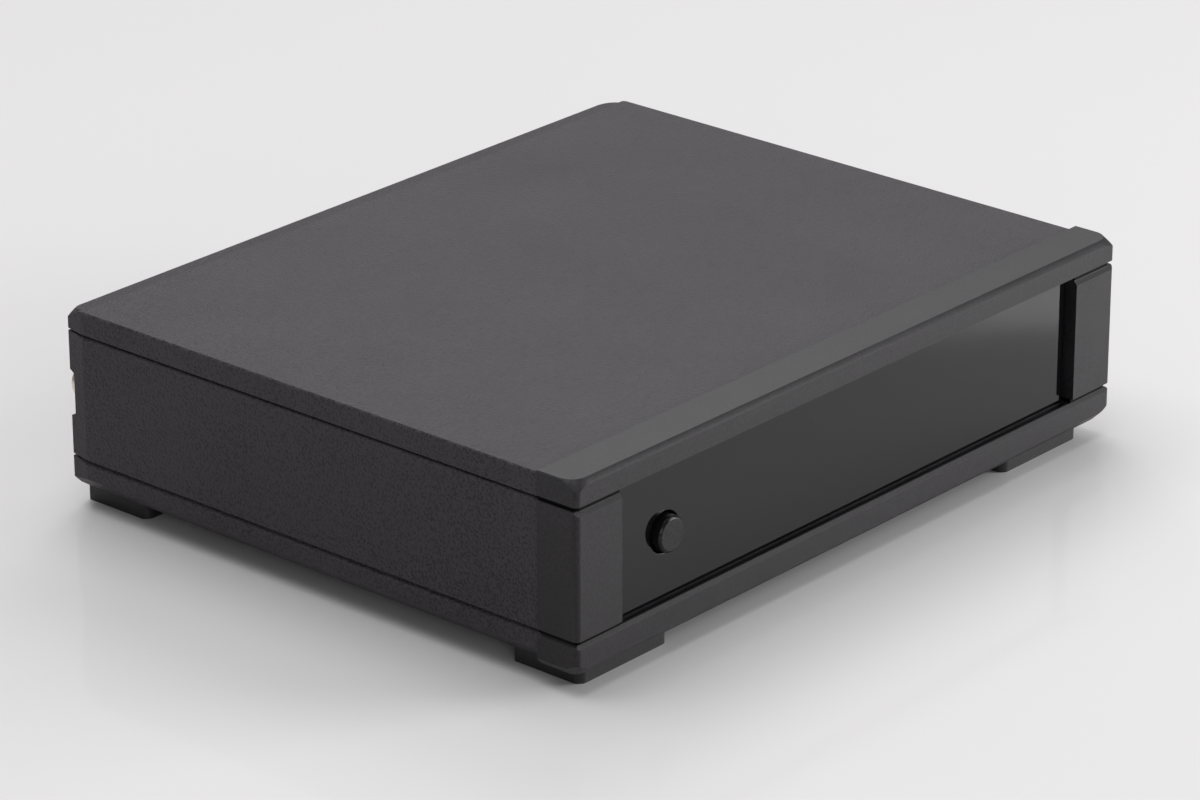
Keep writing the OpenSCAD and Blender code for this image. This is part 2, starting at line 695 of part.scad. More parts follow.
// Short jumper that takes the supply's low voltage to the main board
module power_link() color(white_plastic) placed() {
    w = 7;
    d = 10;
    h = 5;
    left = main_x + main_w - 1;
    right = supply_x + 1;
    y = deep(0.19);
    box([left - w, y, board_top], [left, y + d, board_top + h]);
    box([right, y, board_top], [right + w, y + d, board_top + h]);
    box([left - w, y + 1, board_top + h], [right + w, y + d - 1, board_top + h + 1]);
}

// ---- sockets ----

module barrel(x) color(nickel) placed() difference() {
    union() {
        bar(x, channel_z, neck_r, web_in, reach_back);
        bar(x, channel_z, barrel_r, web_y + collar_l, reach_back - barrel_bevel);
        translate([x, reach_back - barrel_bevel, channel_z]) rotate([-90, 0, 0])
            cylinder(r1 = barrel_r, r2 = neck_r, h = barrel_bevel);
    }
    bar(x, channel_z, core_r, web_in - over, reach_back + over);
}
module input_left_socket() barrel(input_x[0]);
module input_right_socket() barrel(input_x[1]);
module output_left_socket() barrel(out_x[0]);
module output_right_socket() barrel(out_x[1]);

// Collar round a barrel and the core inside it, which share one colour
module insert(x, tint) color(tint) placed() {
    difference() {
        bar(x, channel_z, collar_r, web_in, web_y + collar_l);
        bar(x, channel_z, neck_r, web_in - over, web_y + collar_l + over);
    }
    difference() {
        bar(x, channel_z, core_r, web_in, reach_back - 1);
        bar(x, channel_z, contact_r + contact_wall, web_in - over, reach_back);
    }
}
module socket_inserts_white() for (x = [input_x[0], out_x[0]]) insert(x, white_plastic);
module socket_inserts_red() for (x = [input_x[1], out_x[1]]) insert(x, red_plastic);

module socket_contacts() color(nickel) placed() for (x = concat(input_x, out_x)) difference() {
    bar(x, channel_z, contact_r + contact_wall, web_in, reach_back - 1);
    bar(x, channel_z, contact_r, web_in + 2, reach_back);
}

module socket_block(xs) color(dark) placed() difference() {
    box([xs[0] - barrel_r - 0.2, web_in - socket_block_d, board_top],
        [xs[1] + barrel_r + 2, web_in, socket_block_top]);
    // Steps round the side frame's bosses
    for (z = [[0, lip_z[0] - 0.7], [lip_z[1] + 0.7, lid_top]])
        side_span(-1, boss_w + loose, web_in - boss_d - loose, web_in + over, z[0], z[1]);
}
module input_socket_block() socket_block(input_x);
module output_socket_block() socket_block(out_x);

// ---- ground post ----

module ground_post() color(nickel) placed() {
    bar(ground_at, channel_z, ground_r, web_in - 6, reach_back - 0.2);
    difference() {
        bar(ground_at, channel_z, 3.6, web_y, web_y + ground_flange_t);
        bar(ground_at, channel_z, ground_r - 0.2, web_y - over, ground_nut_y);
    }
}
module ground_lock_nut() color(nickel) placed() difference() {
    translate([ground_at, web_in - 3.2, channel_z]) rotate([-90, 0, 0]) cylinder(r = 4, h = 3.2, $fn = 6);
    bar(ground_at, channel_z, ground_r, web_in - 5, web_in + over);
}
module ground_washer() color(steel) placed() difference() {
    bar(ground_at, channel_z, 4, web_y + ground_flange_t, ground_nut_y);
    bar(ground_at, channel_z, ground_r + run, web_y, ground_nut_y + over);
}
module ground_thumb_nut() color(nickel) placed() difference() {
    bar(ground_at, channel_z, ground_nut_w / 2, ground_nut_y, ground_nut_y + ground_nut_t);
    bar(ground_at, channel_z, ground_r + run, ground_nut_y - over, ground_nut_y + ground_nut_t + over);
    // Grip grooves
    for (a = [0 : 15 : 345]) translate([ground_at, 0, channel_z]) rotate([0, a, 0])
        translate([ground_nut_w / 2 + 0.25, ground_nut_y + 0.8, 0]) rotate([-90, 0, 0])
        cylinder(r = 0.5, h = ground_nut_t, $fn = 16);
}

// ---- parts on the main board ----

// A row of n places, starting at p and stepping by step
function row(p, step, n) = [for (i = [0 : n - 1]) p + i * step];
// The two channels of the circuit start at these distances from the board's left edge;
// each channel is 52 wide
channel_starts = [13, main_w - 52];
film_places = [for (c = channel_starts) each row([main_x + c + 1, deep(0.62)], [11, 0], 4)];
can_places = [for (c = channel_starts) each row([main_x + c + 1, deep(0.45)], [12, 0], 4)];
resistor_places = [for (c = channel_starts) each row([main_x + c, deep(0.54)], [6, 0], 8)];
chip_places = [for (c = channel_starts) each row([main_x + c + 7, deep(0.31)], [22, 0], 2)];

relay_w = 10;
relay_d = 15;
relay_h = 10;
relay_back = web_in - socket_block_d - 7;

module film_capacitors() color([0.65, 0.1, 0.08]) placed() for (p = film_places)
    box([p[0] - 3.6, p[1] - 2.5, board_top], [p[0] + 3.6, p[1] + 2.5, board_top + 8]);
module electrolytic_capacitors() color(foil) placed() for (p = can_places)
    translate([p[0], p[1], board_top]) cylinder(r = 4, h = 11.5);
module op_amps() color(dark) placed() for (p = chip_places)
    box([p[0] - 4.6, p[1] - 3.2, board_top], [p[0] + 4.6, p[1] + 3.2, board_top + 3.6]);
module resistors() color([0.3, 0.55, 0.7]) placed() for (p = resistor_places)
    translate([p[0], p[1] - 3, board_top + 1.1]) rotate([-90, 0, 0]) cylinder(r = 1.1, h = 6, $fn = 24);
module mute_relay() color(white_plastic) placed()
    box([out_x[0] - relay_w / 2, relay_back - relay_d, board_top],
        [out_x[0] + relay_w / 2, relay_back, board_top + relay_h]);
module regulator() color(dark) placed() {
    x = main_x + main_w - 24;
    box([x, board_y + 20, board_top], [x + 10, board_y + 24.5, board_top + 9]);
    difference() {
        box([x, board_y + 18.7, board_top], [x + 10, board_y + 20, board_top + 16]);
        bar(x + 5, board_top + 12.8, 1.8, board_y + 18, board_y + 21);
    }
}

lid();
base();
side_frame_left();
side_frame_right();
front_panel();
panel_carrier();
rear_panel();
foot_front_left();
foot_front_right();
foot_rear_left();
foot_rear_right();
foot_screws();
case_screws();
carrier_screws();
rear_panel_screws();
power_button();
button_rod();
power_switch();
switch_cable();
main_board();
main_board_spacers();
main_board_screws();
supply_board();
supply_board_spacers();
supply_board_screws();
insulation_sheet();
transformer_core();
transformer_winding();
bulk_capacitor();
supply_choke();
fuse();
fuse_clips();
mains_inlet();
inlet_pins();
power_link();
input_left_socket();
input_right_socket();
output_left_socket();
output_right_socket();
socket_inserts_white();
socket_inserts_red();
socket_contacts();
input_socket_block();
output_socket_block();
ground_post();
ground_washer();
ground_thumb_nut();
ground_lock_nut();
film_capacitors();
electrolytic_capacitors();
op_amps();
resistors();
mute_relay();
regulator();
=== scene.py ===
"""Phono preamplifier: the finishes of every part, the small details that the bench model leaves
plain, and the studio that it is photographed in. Metres; +X to the right, +Y to the back, +Z up."""

import math

import bmesh
import bpy
from mathutils import Matrix, Vector


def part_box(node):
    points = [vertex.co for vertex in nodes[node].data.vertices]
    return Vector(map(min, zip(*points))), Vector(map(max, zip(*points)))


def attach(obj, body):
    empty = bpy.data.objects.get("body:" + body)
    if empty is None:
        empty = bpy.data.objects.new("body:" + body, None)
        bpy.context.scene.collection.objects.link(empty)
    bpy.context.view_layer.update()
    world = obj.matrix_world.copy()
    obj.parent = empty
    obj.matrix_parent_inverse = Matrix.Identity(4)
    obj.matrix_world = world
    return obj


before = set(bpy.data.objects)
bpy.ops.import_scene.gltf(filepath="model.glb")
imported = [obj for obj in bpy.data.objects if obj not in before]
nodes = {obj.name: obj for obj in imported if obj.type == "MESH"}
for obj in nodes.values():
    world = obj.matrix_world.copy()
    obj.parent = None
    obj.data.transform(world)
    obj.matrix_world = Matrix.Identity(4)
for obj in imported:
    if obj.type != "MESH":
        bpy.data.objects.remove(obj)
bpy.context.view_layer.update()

MM = 0.001

# Corners of solids that are closer than this are one corner
same_place = 0.002 * MM

# Places that the looks depend on: the nose runs back to where the grained deck starts
case_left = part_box("lid")[0].x
nose_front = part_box("lid")[0].y
nose_depth = 11.3 * MM
nose_back = nose_front + nose_depth

# The shadow seams start at the top of the base and at the top of the band. They are higher
# at the nose than behind it.
deck_seam = 0.5 * MM
nose_seam_low = 1.0 * MM
nose_seam_top = 1.1 * MM
seam_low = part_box("base")[1].z
seam_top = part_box("lid")[0].z - deck_seam


# ---------------------------------------------------------------- camera

def place_camera():
    """The photograph's camera, in an image taken as 1200 x 800."""
    focal_px = 5203.0
    image_px = 1200.0
    azimuth = math.radians(-48.876)
    elevation = math.radians(22.759)
    roll = math.radians(-0.092)
    # From the front left corner of the case, on the floor
    from_corner = Vector((-702.52, -619.53, 458.35)) * MM

    cam = bpy.data.objects.new("camera", bpy.data.cameras.new("camera"))
    bpy.context.scene.collection.objects.link(cam)
    cam.data.sensor_width = 36.0
    cam.data.lens = focal_px / image_px * cam.data.sensor_width
    cam.data.clip_start = 0.05
    cam.data.clip_end = 60.0
    back = Vector((
        math.sin(azimuth) * math.cos(elevation),
        -math.cos(azimuth) * math.cos(elevation),
        math.sin(elevation),
    ))
    level_right = (-back).cross(Vector((0, 0, 1))).normalized()
    level_up = level_right.cross(-back)
    right = level_right * math.cos(roll) + level_up * math.sin(roll)
    up = level_up * math.cos(roll) - level_right * math.sin(roll)
    turn = Matrix((right, up, back)).transposed().to_4x4()
    corner = Vector((case_left, nose_front, 0.0))
    cam.matrix_world = Matrix.Translation(corner + from_corner) @ turn
    bpy.context.scene.camera = cam


# ---------------------------------------------------------------- shader helpers

class Shader:
    """A node material with a Principled shader, and short calls for what feeds it."""

    def __init__(self, name, color, roughness, **sockets):
        self.material = bpy.data.materials.new(name)
        self.material.use_nodes = True
        self.tree = self.material.node_tree
        self.surface = self.tree.nodes["Principled BSDF"]
        self.set(self.surface, "Base Color", (*color, 1.0))
        self.set(self.surface, "Roughness", roughness)
        for socket, value in sockets.items():
            self.set(self.surface, socket.replace("_", " "), value)
        self.place = self.tree.nodes.new("ShaderNodeTexCoord").outputs["Object"]

    def set(self, node, socket, value):
        """A value goes on the socket itself; an output is linked to it."""
        if isinstance(value, bpy.types.NodeSocket):
            self.tree.links.new(value, node.inputs[socket])
        else:
            node.inputs[socket].default_value = value

    def node(self, kind, **sockets):
        made = self.tree.nodes.new(kind)
        for socket, value in sockets.items():
            self.set(made, socket.replace("_", " "), value)
        return made

    def noise(self, size, detail=2.0, stretch=(1, 1, 1), distortion=0.0):
        """Noise whose features are about size metres across."""
        place = self.place
        if stretch != (1, 1, 1):
            place = self.node("ShaderNodeMapping", Vector=place, Scale=stretch).outputs[0]
        made = self.node("ShaderNodeTexNoise", Vector=place, Scale=1.0 / size, Detail=detail,
                         Distortion=distortion)
        return made.outputs["Fac"]

    def speckle(self, size, randomness=1.0):
        """Distance to the nearest of many points, size metres apart."""
        made = self.node("ShaderNodeTexVoronoi", Vector=self.place, Scale=1.0 / size,
                         Randomness=randomness)
        return made.outputs["Distance"]

    def blend(self, low, high, driver, start=0.3, end=0.7):
        """A value that runs from low to high as driver runs from start to end."""
        made = self.node("ShaderNodeMapRange", Value=driver, From_Min=start, From_Max=end,
                         To_Min=low, To_Max=high)
        return made.outputs["Result"]

    def tint(self, color_a, color_b, driver):
        """A colour between color_a and color_b."""
        ramp = self.node("ShaderNodeValToRGB", Fac=driver)
        ramp.color_ramp.elements[0].position = 0.25
        ramp.color_ramp.elements[0].color = (*color_a, 1.0)
        ramp.color_ramp.elements[1].position = 0.75
        ramp.color_ramp.elements[1].color = (*color_b, 1.0)
        return ramp.outputs["Color"]

    def math(self, operation, a, b=0.0):
        made = self.tree.nodes.new("ShaderNodeMath")
        made.operation = operation
        for i, value in enumerate((a, b)):
            if isinstance(value, bpy.types.NodeSocket):
                self.tree.links.new(value, made.inputs[i])
            else:
                made.inputs[i].default_value = value
        return made.outputs[0]

    def scaled(self, color, factor):
        """A colour times a factor."""
        made = self.tree.nodes.new("ShaderNodeVectorMath")
        made.operation = "SCALE"
        self.set(made, "Vector", color)
        self.set(made, "Scale", factor)
        return made.outputs["Vector"]

    def axis(self, name):
        """One coordinate of the surface point, in metres."""
        return self.node("ShaderNodeSeparateXYZ", Vector=self.place).outputs[name]

    def bump(self, height, depth, strength=1.0):
        """Bump from a height of 0 to 1 that stands for depth metres."""
        made = self.node("ShaderNodeBump", Height=height, Strength=strength, Distance=depth)
        self.set(self.surface, "Normal", made.outputs["Normal"])


def shade(color, factor):
    """A colour made lighter or darker."""
    return tuple(min(1.0, channel * factor) for channel in color)


# ---------------------------------------------------------------- finishes

def painted_seam_shade(coat, behind_nose):
    """1 on the inner walls of the two shadow seams, where the coat gets painted shade: darker colour
    and little sheen.
    """
    edge = 0.03 * MM
    height = coat.axis("Z")
    inside = 0.0
    for low, at_nose in ((seam_low, nose_seam_low), (seam_top, nose_seam_top)):
        high = coat.blend(low + at_nose - edge, low + deck_seam - edge, behind_nose, 0.0, 1.0)
        between = coat.math("MULTIPLY", coat.math("GREATER_THAN", height, low + edge),
                            coat.math("LESS_THAN", height, high))
        inside = coat.math("MAXIMUM", between, inside)
    return inside


def case_coat():
    """Black coat of the case: smooth on the nose, finely grained behind it."""
    black = (0.0250, 0.0222, 0.0254)
    grain_size = 0.5 * MM
    pit_spacing = 0.7 * MM
    cloud_size = 30.0 * MM
    grain_depth = 0.28 * MM
    fade = 0.3 * MM

    coat = Shader("case_coat", black, 0.5)
    behind_nose = coat.blend(0.0, 1.0, coat.axis("Y"), nose_back - fade, nose_back)
    seam_shade_mask = painted_seam_shade(coat, behind_nose)
    grain = coat.noise(grain_size)
    pits = coat.speckle(pit_spacing)
    clouds = coat.noise(cloud_size, detail=3.0)
    speckled = coat.math("ADD", coat.math("MULTIPLY", grain, 0.6),
                         coat.math("MULTIPLY", pits, 0.5))

    # Colour: fine flecks, weaker on the nose, over soft clouds
    flecks = coat.blend(0.0, 1.0, speckled, 0.38, 0.62)
    fleck_share = coat.blend(0.15, 0.6, behind_nose, 0.0, 1.0)
    fine = coat.math("ADD", coat.math("MULTIPLY", flecks, fleck_share),
                     coat.math("MULTIPLY", clouds, 0.4))
    tone = coat.tint(shade(black, 0.5), shade(black, 1.7), fine)
    # Painted shade: on the inner walls of the seams the colour drops to a tenth and the sheen to 0.05
    coat.set(coat.surface, "Base Color", coat.scaled(tone, coat.blend(1.0, 0.1, seam_shade_mask, 0.0, 1.0)))
    coat.set(coat.surface, "Specular IOR Level", coat.blend(0.28, 0.05, seam_shade_mask, 0.0, 1.0))

    # Roughness and relief: both almost even on the nose
    smooth = coat.blend(0.42, 0.50, clouds)
    rough = coat.blend(0.40, 0.64, speckled)
    coat.set(coat.surface, "Roughness", coat.math(
        "ADD", coat.math("MULTIPLY", rough, behind_nose),
        coat.math("MULTIPLY", smooth, coat.math("SUBTRACT", 1.0, behind_nose))))
    relief = coat.math("MULTIPLY", speckled, coat.blend(0.04, 1.0, behind_nose, 0.0, 1.0))
    coat.bump(relief, grain_depth, 0.9)
    return coat.material


def panel_gloss():
    """Gloss black acrylic of the front panel, with a few specks of dust."""
    black = (0.004, 0.004, 0.0045)
    dust_grey = (0.12, 0.12, 0.12)
    dust_spacing = 13.0 * MM
    smear_size = 20.0 * MM
    panel = Shader("panel_gloss", black, 0.04, Specular_IOR_Level=0.21)
    dust = panel.blend(1.0, 0.0, panel.speckle(dust_spacing), 0.012, 0.03)
    smear = panel.noise(smear_size, detail=4.0, distortion=0.6)
    panel.set(panel.surface, "Base Color", panel.tint(black, dust_grey, dust))
    panel.set(panel.surface, "Roughness", panel.blend(0.035, 0.075, smear))
    return panel.material


def moulded(name, color, roughness, depth=0.02 * MM, **sockets):
    """Moulded plastic or rubber with a fine matt grain, depth deep."""
    plastic = Shader(name, color, roughness, **sockets)
    grain = plastic.noise(0.6 * MM, detail=3.0)
    cloud = plastic.noise(8.0 * MM)
    plastic.set(plastic.surface, "Base Color",
                plastic.tint(shade(color, 0.88), shade(color, 1.12), cloud))
    plastic.set(plastic.surface, "Roughness",
                plastic.blend(roughness - 0.06, roughness + 0.08, grain))
    plastic.bump(grain, depth)
    return plastic.material


def metal(name, color, roughness, squeeze=(1, 1, 1)):
    """Plated or bare metal. Its fine marks are squeezed along each axis by a factor, which
    makes turning marks of them."""
    plate = Shader(name, color, roughness, Metallic=1.0)
    lines = plate.noise(0.5 * MM, detail=3.0, stretch=squeeze)
    stains = plate.noise(6.0 * MM, detail=3.0)
    plate.set(plate.surface, "Base Color", plate.tint(shade(color, 0.86), shade(color, 1.05), stains))
    plate.set(plate.surface, "Roughness", plate.blend(roughness - 0.06, roughness + 0.1, lines))
    plate.bump(lines, 0.008 * MM)
    return plate.material


def board_mask():
    """Green solder mask over copper tracks that run along and across the board."""
    mask = Shader("board_mask", (0.015, 0.12, 0.045), 0.32, Coat_Weight=0.4, Coat_Roughness=0.2)
    along = mask.node("ShaderNodeTexWave", Vector=mask.place, Scale=210.0, Distortion=0.0)
    across = mask.node("ShaderNodeTexBrick", Vector=mask.place, Scale=90.0, Mortar_Size=0.035)
    patches = mask.blend(0.0, 1.0, mask.noise(14.0 * MM), 0.45, 0.55)
    tracks = mask.math("MULTIPLY", along.outputs["Fac"], patches)
    tracks = mask.math("MAXIMUM", tracks, across.outputs["Fac"])
    bare, over_copper = (0.012, 0.10, 0.035), (0.03, 0.19, 0.07)
    mask.set(mask.surface, "Base Color", mask.tint(bare, over_copper, tracks))
    mask.bump(tracks, 0.03 * MM)
    return mask.material


def banded(name, color):
    """Lacquered resistor body with coloured rings across it, at shares of its length."""
    brown, black, orange = (0.16, 0.05, 0.01), (0.01, 0.01, 0.01), (0.45, 0.12, 0.0)
    rings = ((0.18, brown), (0.34, black), (0.50, orange), (0.74, brown))
    ring_width = 0.08

    low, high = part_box("resistors")
    body = Shader(name, color, 0.28)
    along = body.blend(0.0, 1.0, body.axis("Y"), low.y, high.y)
    banding = body.node("ShaderNodeValToRGB", Fac=along)
    ramp = banding.color_ramp
    ramp.interpolation = "CONSTANT"
    ramp.elements.remove(ramp.elements[1])
    ramp.elements[0].color = (*color, 1.0)
    for start, tone in rings:
        ramp.elements.new(start).color = (*tone, 1.0)
        ramp.elements.new(start + ring_width).color = (*color, 1.0)
    body.set(body.surface, "Base Color", banding.outputs["Color"])
    body.bump(body.noise(0.8 * MM), 0.01 * MM)
    return body.material


def wound(name, color, pitch, axis, roughness, **sockets):
    """Turns of tape or wire, pitch metres apart along one axis."""
    wire = Shader(name, color, roughness, **sockets)
    turns = wire.math("PINGPONG", wire.math("DIVIDE", wire.axis(axis), pitch), 0.5)
    turns = wire.math("MULTIPLY", turns, 2.0)
    # Painted shade and highlight: colour darkens to 0.6 in the grooves where turns meet and lightens
    # to 1.1 along the middle of each turn
    wire.set(wire.surface, "Base Color", wire.tint(shade(color, 0.6), shade(color, 1.1), turns))
    wire.bump(turns, pitch * 0.3)
    return wire.material


def dress_cad_nodes():
    """Gives every CAD node its finish."""
    coarse, fine = 0.04 * MM, 0.004 * MM
    tape_width, wire_width = 0.6 * MM, 0.7 * MM
    finishes = {
        case_coat(): ["lid", "base", "side_frame_left", "side_frame_right", "rear_panel"],
        panel_gloss(): ["front_panel"],
        board_mask(): ["main_board", "supply_board"],
        moulded("foot_rubber", (0.012, 0.012, 0.013), 0.55, coarse): [
            "foot_front_left", "foot_front_right", "foot_rear_left", "foot_rear_right"],
        moulded("button_black", (0.006, 0.0058, 0.0062), 0.22, fine, Specular_IOR_Level=0.22): [
            "power_button"],
        moulded("carrier_black", (0.006, 0.006, 0.006), 0.7): ["panel_carrier"],
        moulded("switch_black", (0.015, 0.015, 0.016), 0.5): [
            "power_switch", "input_socket_block", "output_socket_block", "op_amps", "regulator",
            "mains_inlet"],
        moulded("connector_white", (0.75, 0.74, 0.70), 0.4, Subsurface_Weight=0.05): [
            "button_rod", "power_link", "mute_relay", "socket_inserts_white"],
        moulded("socket_red", (0.55, 0.02, 0.02), 0.4): ["socket_inserts_red"],
        moulded("cable_grey", (0.32, 0.32, 0.33), 0.5): ["switch_cable"],
        moulded("insulation_film", (0.05, 0.05, 0.055), 0.3): ["insulation_sheet"],
        moulded("capacitor_sleeve", (0.015, 0.02, 0.10), 0.25): [
            "bulk_capacitor", "electrolytic_capacitors"],
        moulded("film_red", (0.42, 0.04, 0.02), 0.25): ["film_capacitors"],
        banded("resistor_blue", (0.12, 0.33, 0.50)): ["resistors"],
        moulded("ferrite_grey", (0.035, 0.033, 0.033), 0.65, coarse): ["transformer_core"],
        moulded("fuse_ceramic", (0.80, 0.78, 0.72), 0.25, fine): ["fuse"],
        metal("nickel_plate", (0.72, 0.66, 0.56), 0.22, (1, 6, 1)): [
            "input_left_socket", "input_right_socket", "output_left_socket",
            "output_right_socket", "socket_contacts", "ground_post", "ground_thumb_nut",
            "ground_lock_nut", "inlet_pins", "fuse_clips"],
        metal("zinc_plate", (0.55, 0.56, 0.58), 0.32): [
            "foot_screws", "case_screws", "carrier_screws", "main_board_spacers",
            "main_board_screws", "supply_board_spacers", "supply_board_screws",
            "ground_washer"],
        metal("black_screw", (0.05, 0.05, 0.052), 0.4): ["rear_panel_screws"],
        wound("winding_tape", (0.70, 0.47, 0.05), tape_width, "Z", 0.3): ["transformer_winding"],
        wound("copper_turns", (0.72, 0.30, 0.12), wire_width, "X", 0.3, Metallic=1.0): [
            "supply_choke"],
    }
    for material, names in finishes.items():
        for name in names:
            slots = nodes[name].data.materials
            slots.clear()
            slots.append(material)


# ---------------------------------------------------------------- softened edges

def soften_edges(name, width):
    """Rounds a CAD node's sharp edges by a hair, so that they catch the light. The triangles
    of each flat face are joined first."""
    flat, sharp = math.radians(0.6), math.radians(24.0)
    node = nodes[name]
    weld = node.modifiers.new("weld", "WELD")
    weld.merge_threshold = same_place
    flatten = node.modifiers.new("flatten", "DECIMATE")
    flatten.decimate_type = "DISSOLVE"
    flatten.angle_limit = flat
    bevel = node.modifiers.new("soften", "BEVEL")
    bevel.width = width
    bevel.segments = 2
    bevel.limit_method = "ANGLE"
    bevel.angle_limit = sharp
    bevel.harden_normals = True


# ---------------------------------------------------------------- small parts on the boards

def solid_boxes(name):
    """Low and high corner of each separate solid of a CAD node."""
    shape = bmesh.new()
    shape.from_mesh(nodes[name].data)
    bmesh.ops.remove_doubles(shape, verts=shape.verts, dist=same_place)
    left = set(shape.verts)
    boxes = []
    while left:
        island = [left.pop()]
        for vert in island:
            for edge in vert.link_edges:
                other = edge.other_vert(vert)
                if other in left:
                    left.remove(other)
                    island.append(other)
        places = [nodes[name].matrix_world @ vert.co for vert in island]
        boxes.append(tuple(Vector(pick(place[i] for place in places) for i in range(3))
                           for pick in (min, max)))
    shape.free()
    return sorted(boxes, key=lambda box: (round(box[0].y, 4), box[0].x))


def bent_strip(name, outline, width):
    """A closed strip: an outline in Y and Z (mm), width mm wide along X."""
    shape = bmesh.new()
    side = shape.faces.new([shape.verts.new(Vector((-width / 2, y, z)) * MM) for y, z in outline])
    pushed = bmesh.ops.extrude_face_region(shape, geom=[side])["geom"]
    moved = [item for item in pushed if isinstance(item, bmesh.types.BMVert)]
    bmesh.ops.translate(shape, verts=moved, vec=(width * MM, 0, 0))
    return finished(name, shape)


def turned(name, profile, steps):
    """A closed round shape about Z: radii and heights in mm, from the axis to the axis."""
    shape = bmesh.new()
    line = [shape.verts.new(Vector((r, 0, z)) * MM) for r, z in profile]
    edges = [shape.edges.new(pair) for pair in zip(line, line[1:])]
    bmesh.ops.spin(shape, geom=line + edges, axis=(0, 0, 1), cent=(0, 0, 0),
                   angle=math.tau, steps=steps)
    bmesh.ops.remove_doubles(shape, verts=shape.verts, dist=1e-6)
    return finished(name, shape)


def finished(name, shape):
    """The object of a bmesh, with its faces outward."""
    bmesh.ops.recalc_face_normals(shape, faces=shape.faces)
    mesh = bpy.data.meshes.new(name)
    shape.to_mesh(mesh)
    shape.free()
    made = bpy.data.objects.new(name, mesh)
    bpy.context.scene.collection.objects.link(made)
    return made


def repeat_tree():
    """Geometry Nodes: copies of Shape on the points, turned about Z by the attribute turn."""
    tree = bpy.data.node_groups.new("repeat_on_points", "GeometryNodeTree")
    face = tree.interface
    face.new_socket("Geometry", in_out="INPUT", socket_type="NodeSocketGeometry")
    sockets = {
        "shape": face.new_socket("Shape", in_out="INPUT", socket_type="NodeSocketObject"),
        "finish": face.new_socket("Finish", in_out="INPUT", socket_type="NodeSocketMaterial"),
    }
    face.new_socket("Geometry", in_out="OUTPUT", socket_type="NodeSocketGeometry")
    start = tree.nodes.new("NodeGroupInput")
    points = tree.nodes.new("GeometryNodeMeshToPoints")
    picked = tree.nodes.new("GeometryNodeObjectInfo")
    turn = tree.nodes.new("GeometryNodeInputNamedAttribute")
    turn.inputs["Name"].default_value = "turn"
    about_z = tree.nodes.new("ShaderNodeCombineXYZ")
    copies = tree.nodes.new("GeometryNodeInstanceOnPoints")
    real = tree.nodes.new("GeometryNodeRealizeInstances")
    dressed = tree.nodes.new("GeometryNodeSetMaterial")
    end = tree.nodes.new("NodeGroupOutput")
    for source, target in (
            (start.outputs["Geometry"], points.inputs["Mesh"]),
            (start.outputs["Shape"], picked.inputs["Object"]),
            (points.outputs["Points"], copies.inputs["Points"]),
            (picked.outputs["Geometry"], copies.inputs["Instance"]),
            (turn.outputs["Attribute"], about_z.inputs["Z"]),
            (about_z.outputs["Vector"], copies.inputs["Rotation"]),
            (copies.outputs["Instances"], real.inputs["Geometry"]),
            (real.outputs["Geometry"], dressed.inputs["Geometry"]),
            (start.outputs["Finish"], dressed.inputs["Material"]),
            (dressed.outputs["Geometry"], end.inputs["Geometry"])):
        tree.links.new(source, target)
    return tree, sockets


def repeat(name, shape, places, finish, tree, sockets):
    """One plain mesh of copies of shape, at places of (x, y, z, turn), riding on the case."""
    cloud = bpy.data.meshes.new(name)
    cloud.from_pydata([place[:3] for place in places], [], [])
    turns = cloud.attributes.new("turn", "FLOAT", "POINT")
    turns.data.foreach_set("value", [place[3] for place in places])
    piece = bpy.data.objects.new(name, cloud)
    bpy.context.scene.collection.objects.link(piece)
    maker = piece.modifiers.new("repeat", "NODES")
    maker.node_group = tree
    maker[sockets["shape"].identifier] = shape
    maker[sockets["finish"].identifier] = finish
    bpy.context.view_layer.update()
    seen = piece.evaluated_get(bpy.context.evaluated_depsgraph_get())
    plain = bpy.data.meshes.new_from_object(seen)
    piece.modifiers.clear()
    piece.data = plain
    bpy.data.objects.remove(shape)
    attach(piece, "case")


# Outlines (Y and Z) and profiles (radius and height) of the small parts, in mm
LEG = [(-0.3, 1.35), (0.85, 1.35), (0.9, 1.3), (0.9, 0.0), (1.15, 0.0), (1.15, 1.4), (0.95, 1.6),
       (-0.3, 1.6)]
LEAD = [(-0.3, 0.85), (1.05, 0.85), (1.05, 0.0), (1.55, 0.0), (1.55, 1.15), (1.35, 1.35),
        (-0.3, 1.35)]
CAN_TOP = [(0.0, 0.05), (2.6, 0.05), (2.8, 0.2), (3.2, 0.2), (3.4, 0.0), (3.4, -0.2), (0.0, -0.2)]
JOINT = [(0.0, 0.05), (0.95, 0.05), (0.9, -0.08), (0.5, -0.3), (0.32, -0.7), (0.28, -1.0),
         (0.0, -1.05)]


def leg_places():
    """Places of the chips' legs and of the resistors' leads, at the feet of both sides."""
    leg_pitch = 2.54 * MM
    legs, leads = [], []
    for low, high in solid_boxes("op_amps"):
        middle = (low.x + high.x) / 2
        for step in (-1.5, -0.5, 0.5, 1.5):
            x = middle + step * leg_pitch
            legs += [(x, high.y, low.z, 0.0), (x, low.y, low.z, math.pi)]
    for low, high in solid_boxes("resistors"):
        x = (low.x + high.x) / 2
        leads += [(x, high.y, low.z, 0.0), (x, low.y, low.z, math.pi)]
    return legs, leads


def joint_places(legs, leads):
    """Places under the board, below each leg and lead."""
    leg_reach, lead_reach = 1.0 * MM, 1.3 * MM
    under_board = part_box("main_board")[0].z
    return [(x, y + reach * math.cos(turn), under_board, 0.0)
            for places, reach in ((legs, leg_reach), (leads, lead_reach))
            for x, y, _, turn in places]


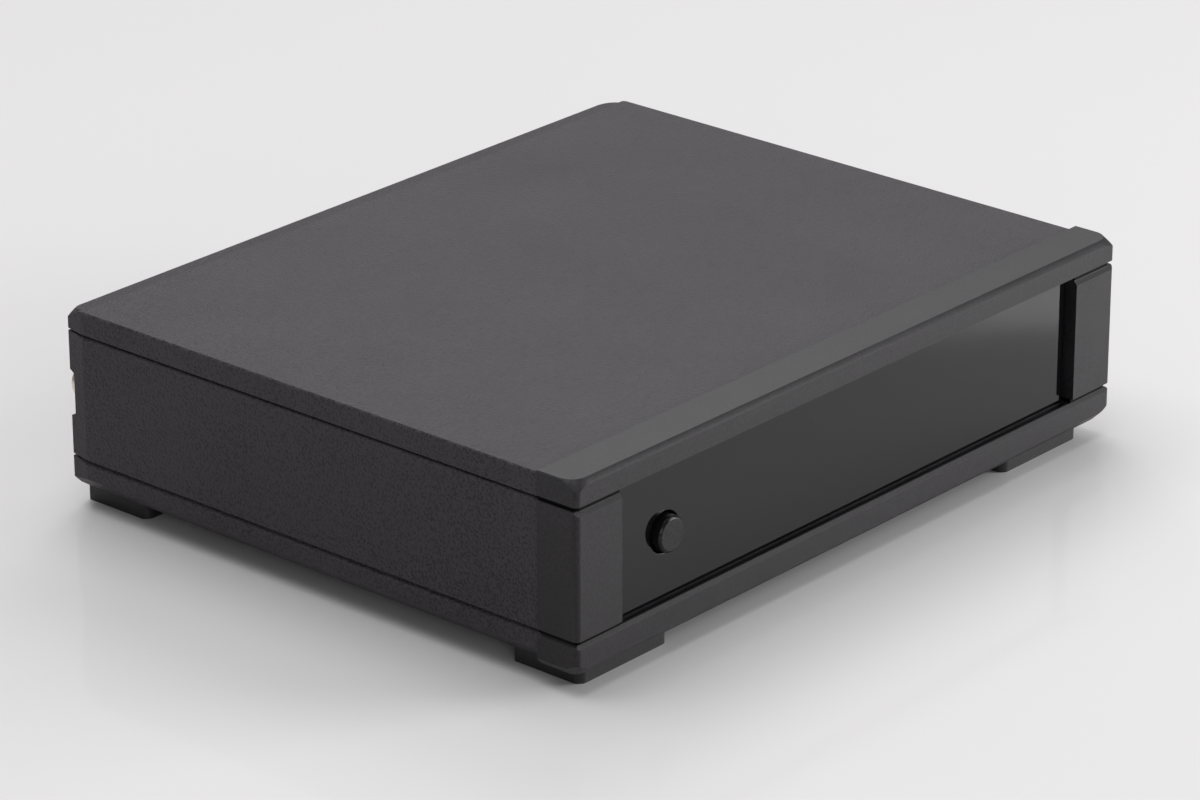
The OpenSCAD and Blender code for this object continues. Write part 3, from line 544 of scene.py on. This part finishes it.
def small_parts():
    """Legs, leads, can tops and solder joints, at the places of the CAD's own parts."""
    leg_width, lead_width = 0.9, 0.5
    tree, sockets = repeat_tree()
    tin = metal("tinned_wire", (0.62, 0.62, 0.62), 0.3)
    solder = metal("solder", (0.55, 0.55, 0.56), 0.22)
    can = metal("can_top", (0.60, 0.60, 0.62), 0.35)

    legs, leads = leg_places()
    tops = [((low.x + high.x) / 2, (low.y + high.y) / 2, high.z, 0.0)
            for low, high in solid_boxes("electrolytic_capacitors")]
    joints = joint_places(legs, leads)
    for name, shape, places, finish, slot in (
            ("chip_legs", bent_strip("leg", LEG, leg_width), legs, tin, "nickel"),
            ("resistor_leads", bent_strip("lead", LEAD, lead_width), leads, tin, "nickel"),
            ("can_tops", turned("top", CAN_TOP, 32), tops, can, "screw_steel"),
            ("solder_joints", turned("joint", JOINT, 20), joints, solder, "screw_steel")):
        repeat(name, shape, places, finish, tree, sockets)


# ---------------------------------------------------------------- studio

def floor_finish():
    """Glossy white table: shows shadows and a clear mirror image."""
    floor = Shader("table_white", (0.69, 0.68, 0.685), 0.05, Specular_IOR_Level=0.4)
    return floor.material


# Name, place, width, depth and power (W) of the soft lamps, which all face the part
LAMPS = (
    ("overhead", (-0.1, 0.3, 1.5), 1.5, 1.5, 19.5),
    ("back_right", (1.2, 1.05, 1.4), 1.2, 0.8, 14.0),
    ("key_right", (1.2, -1.2, 1.0), 1.0, 0.8, 10.0),
    ("low_right", (0.75, -0.75, 0.2), 0.5, 0.3, 6.0),
    ("fill_left", (-0.9, -1.3, 0.4), 1.0, 0.5, 3.5),
)
TABLE_SIZE = 14.0
SKY_STRENGTH = 0.25


def make_studio():
    """White table, a pale world and soft lamps, most of them at the right."""
    bpy.ops.mesh.primitive_plane_add(size=TABLE_SIZE)
    floor = bpy.context.object
    floor.name = "table"
    floor.data.materials.append(floor_finish())

    world = bpy.data.worlds.new("studio")
    bpy.context.scene.world = world
    world.use_nodes = True
    tree = world.node_tree
    background = tree.nodes["Background"]
    background.inputs["Color"].default_value = (1.0, 1.0, 1.0, 1.0)
    background.inputs["Strength"].default_value = SKY_STRENGTH

    for name, place, width, depth, power in LAMPS:
        light = bpy.data.lights.new(name, "AREA")
        light.shape = "RECTANGLE"
        light.size = width
        light.size_y = depth
        light.energy = power
        made = bpy.data.objects.new(name, light)
        bpy.context.scene.collection.objects.link(made)
        made.location = place
        made.rotation_mode = "QUATERNION"
        made.rotation_quaternion = (-Vector(place)).to_track_quat("-Z", "Y")


place_camera()
dress_cad_nodes()
for part in ("lid", "base", "side_frame_left", "side_frame_right"):
    soften_edges(part, 0.12 * MM)
for part in ("front_panel", "power_button"):
    soften_edges(part, 0.15 * MM)
small_parts()
make_studio()

bpy.context.scene.view_settings.view_transform = "Standard"
